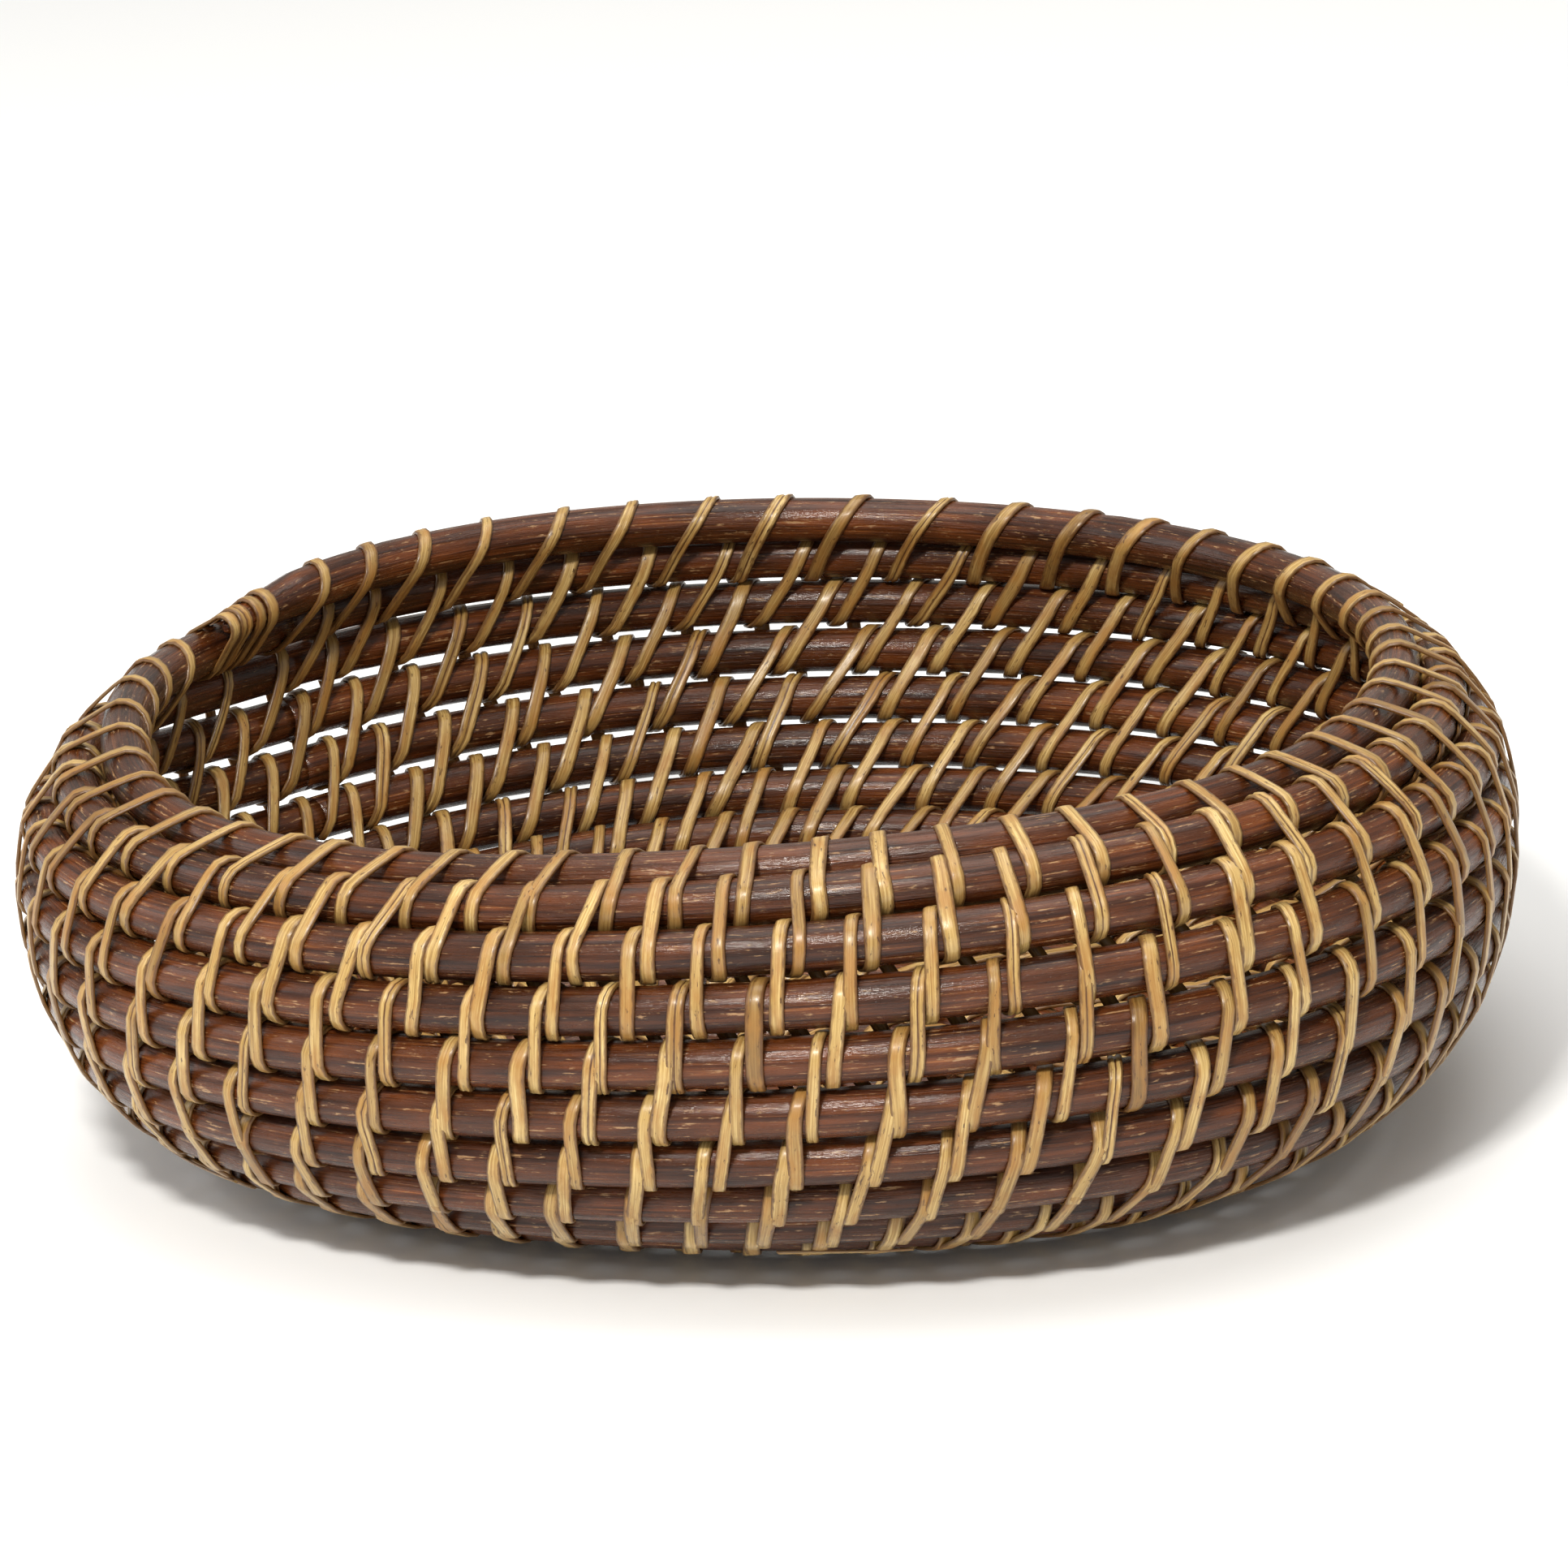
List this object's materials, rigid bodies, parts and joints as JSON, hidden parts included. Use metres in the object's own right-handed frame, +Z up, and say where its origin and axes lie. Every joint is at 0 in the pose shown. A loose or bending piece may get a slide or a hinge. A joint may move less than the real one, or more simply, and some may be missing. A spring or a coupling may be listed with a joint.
{
  "type": "coiled rattan basket",
  "caption": "Open oval basket of coiled dark rattan cane lashed turn to turn with pale peel strips, with a flat base, a bulging wall and a rim that turns in.",
  "frame": {"origin": "middle of the footprint, on the surface that the basket stands on", "axes": "+X along the basket's length, +Y across its width towards the far side, +Z up out of the opening"},
  "size_m": [0.2854, 0.2596, 0.0867],
  "materials": {
    "cane": "satin varnished rattan cane, stained dark red-brown",
    "peel": "satin varnished rattan peel, straw-coloured"
  },
  "bodies": {
    "root": {"centre_cane": "cane", "base_turn_1": "cane", "base_turn_2": "cane", "base_turn_3": "cane", "base_turn_4": "cane", "base_turn_5": "cane", "base_turn_6": "cane", "base_turn_7": "cane", "wall_turn_1": "cane", "wall_turn_2": "cane", "wall_turn_3": "cane", "wall_turn_4": "cane", "wall_turn_5": "cane", "wall_turn_6": "cane", "wall_turn_7": "cane", "wall_turn_8": "cane", "wall_turn_9": "cane", "wall_turn_10": "cane", "rim_turn": "cane", "base_lashing_1": "peel", "base_lashing_2": "peel", "base_lashing_3": "peel", "base_lashing_4": "peel", "base_lashing_5": "peel", "base_lashing_6": "peel", "base_lashing_7": "peel", "wall_lashing_1": "peel", "wall_lashing_2": "peel", "wall_lashing_3": "peel", "wall_lashing_4": "peel", "wall_lashing_5": "peel", "wall_lashing_6": "peel", "wall_lashing_7": "peel", "wall_lashing_8": "peel", "wall_lashing_9": "peel", "wall_lashing_10": "peel", "rim_lashing": "peel", "rim_end_binding": "peel", "peel_tail_far": "peel", "peel_tail_left": "peel", "peel_tail_right": "peel"}
  },
  "joints": []
}
